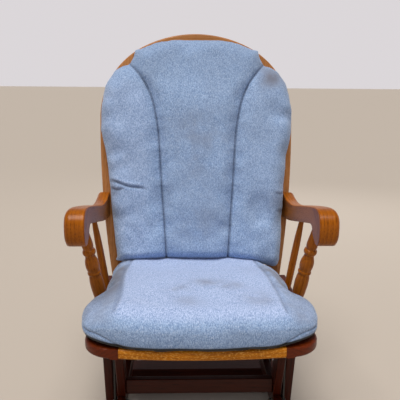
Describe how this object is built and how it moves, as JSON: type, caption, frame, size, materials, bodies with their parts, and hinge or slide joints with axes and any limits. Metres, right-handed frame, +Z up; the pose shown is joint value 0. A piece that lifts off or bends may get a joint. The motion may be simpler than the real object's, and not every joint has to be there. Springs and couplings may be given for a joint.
{
  "type": "glider chair",
  "caption": "Wooden glider armchair: spindle-filled bow back, scroll arms on turned posts, puffy cushions, and a seat that hangs on swinging links inside a floor base.",
  "frame": {"origin": "on the floor, under the middle of the chair's overall width and depth", "axes": "+Z is up, +X is the sitter's left, and the chair faces -Y"},
  "size_m": [0.606, 0.6948, 1.0334],
  "materials": {
    "oak": "glossy clear varnish over medium oak stain",
    "dark_oak": "glossy varnish over oak, stained darker",
    "woven_cloth": "soft heathered blue-grey weave over padding",
    "link_steel": "dark enamel on stamped steel",
    "bearing_steel": "ground rings with dark shields",
    "zinc_steel": "dull zinc plate",
    "rubber": "matte moulded rubber"
  },
  "bodies": {
    "base": {"left_runner": "dark_oak", "right_runner": "dark_oak", "front_base_stretcher": "dark_oak", "rear_base_stretcher": "dark_oak", "floor_pads": "rubber", "front_left_base_post": "dark_oak", "rear_left_base_post": "dark_oak", "front_right_base_post": "dark_oak", "rear_right_base_post": "dark_oak", "left_top_rail": "dark_oak", "right_top_rail": "dark_oak", "upper_pivot_bolts": "zinc_steel", "upper_spacers": "zinc_steel", "upper_cap_nuts": "zinc_steel"},
    "front_left_swing": {"front_left_link": "link_steel", "front_left_bearings": "bearing_steel"},
    "front_right_swing": {"front_right_link": "link_steel", "front_right_bearings": "bearing_steel"},
    "rear_left_swing": {"rear_left_link": "link_steel", "rear_left_bearings": "bearing_steel"},
    "rear_right_swing": {"rear_right_link": "link_steel", "rear_right_bearings": "bearing_steel"},
    "seat": {"left_hanger_rail": "dark_oak", "right_hanger_rail": "dark_oak", "front_left_hanger_leg": "dark_oak", "rear_left_hanger_leg": "dark_oak", "front_right_hanger_leg": "dark_oak", "rear_right_hanger_leg": "dark_oak", "front_hanger_stretcher": "dark_oak", "rear_hanger_stretcher": "dark_oak", "lower_pivot_bolts": "zinc_steel", "lower_spacers": "zinc_steel", "lower_cap_nuts": "zinc_steel", "left_side_rail": "dark_oak", "right_side_rail": "dark_oak", "front_rail": "oak", "back_rail": "dark_oak", "seat_slats": "dark_oak", "bow_crown": "oak", "left_bow_shoulder": "oak", "right_bow_shoulder": "oak", "left_stile": "oak", "right_stile": "oak", "back_spindles": "oak", "back_bolts": "zinc_steel", "left_arm": "oak", "right_arm": "oak", "left_arm_post": "oak", "right_arm_post": "oak", "left_arm_spindle": "oak", "right_arm_spindle": "oak", "arm_screws": "zinc_steel", "seat_cushion": "woven_cloth", "back_cushion": "woven_cloth"}
  },
  "joints": [
    {"name": "glide", "type": "hinge", "parent": "base", "child": "front_left_swing", "pos_m": [0.211, -0.16338, 0.267], "axis": [1, 0, 0], "range_deg": [-20, 20]},
    {"name": "front_right_pivot", "type": "hinge", "parent": "base", "child": "front_right_swing", "pos_m": [-0.211, -0.16338, 0.267], "axis": [1, 0, 0], "range_deg": [-20, 20]},
    {"name": "rear_left_pivot", "type": "hinge", "parent": "base", "child": "rear_left_swing", "pos_m": [0.211, 0.06662, 0.267], "axis": [1, 0, 0], "range_deg": [-20, 20]},
    {"name": "rear_right_pivot", "type": "hinge", "parent": "base", "child": "rear_right_swing", "pos_m": [-0.211, 0.06662, 0.267], "axis": [1, 0, 0], "range_deg": [-20, 20]},
    {"name": "seat_pivot", "type": "hinge", "parent": "front_left_swing", "child": "seat", "pos_m": [0.211, -0.16338, 0.112], "axis": [1, 0, 0], "range_deg": [-20, 20]}
  ],
  "couplings": [
    {"joint": "front_right_pivot", "follows": "glide", "ratio": 1},
    {"joint": "rear_left_pivot", "follows": "glide", "ratio": 1},
    {"joint": "rear_right_pivot", "follows": "glide", "ratio": 1},
    {"joint": "seat_pivot", "follows": "glide", "ratio": -1}
  ]
}
